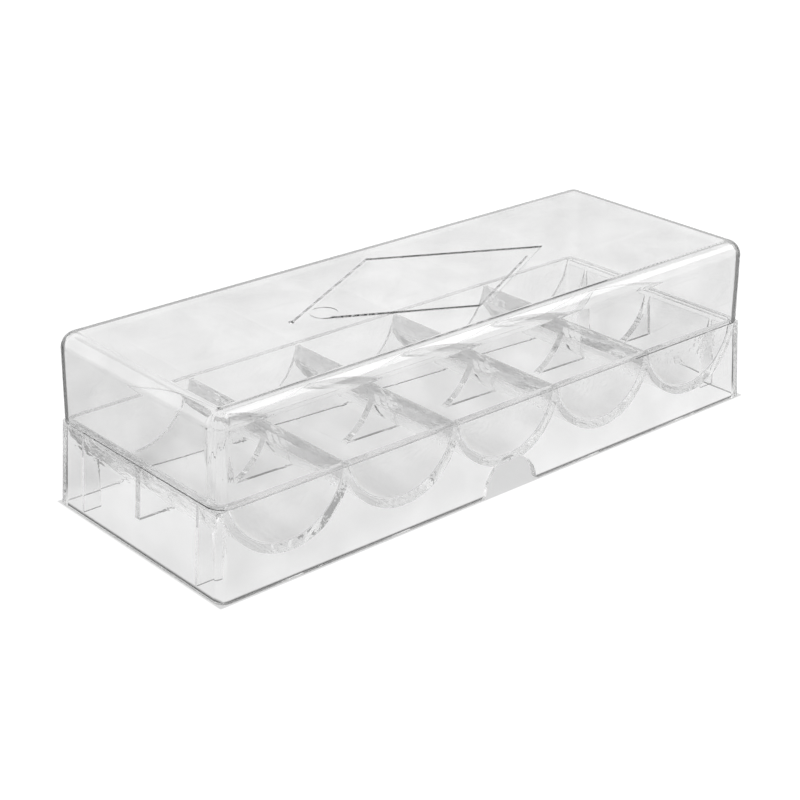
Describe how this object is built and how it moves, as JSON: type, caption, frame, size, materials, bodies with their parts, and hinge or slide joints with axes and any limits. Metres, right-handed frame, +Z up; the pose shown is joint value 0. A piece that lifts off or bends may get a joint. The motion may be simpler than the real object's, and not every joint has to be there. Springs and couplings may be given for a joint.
{
  "type": "poker chip case",
  "caption": "Clear moulded case for poker chips: a tray with half-round troughs over a skirt, and a plain lift-off lid with rounded edges and a diamond outline on top.",
  "frame": {"origin": "centre of the case's footprint, on the surface it stands on", "axes": "+Z up. +X along the long side, across the rows. +Y along the rows, from the wall with the finger notch to the back wall."},
  "size_m": [0.21, 0.0794, 0.0534],
  "materials": {
    "clear_tray": "clear, polished, injection-moulded polystyrene",
    "clear_lid": "clear, polished, injection-moulded polystyrene"
  },
  "bodies": {
    "tray": {"chip_tray": "clear_tray"},
    "lid": {"lid": "clear_lid"}
  },
  "joints": [
    {"name": "lid_lift", "type": "slide", "parent": "tray", "child": "lid", "axis": [0, 0, 1], "range_m": [0, 0.045]}
  ]
}
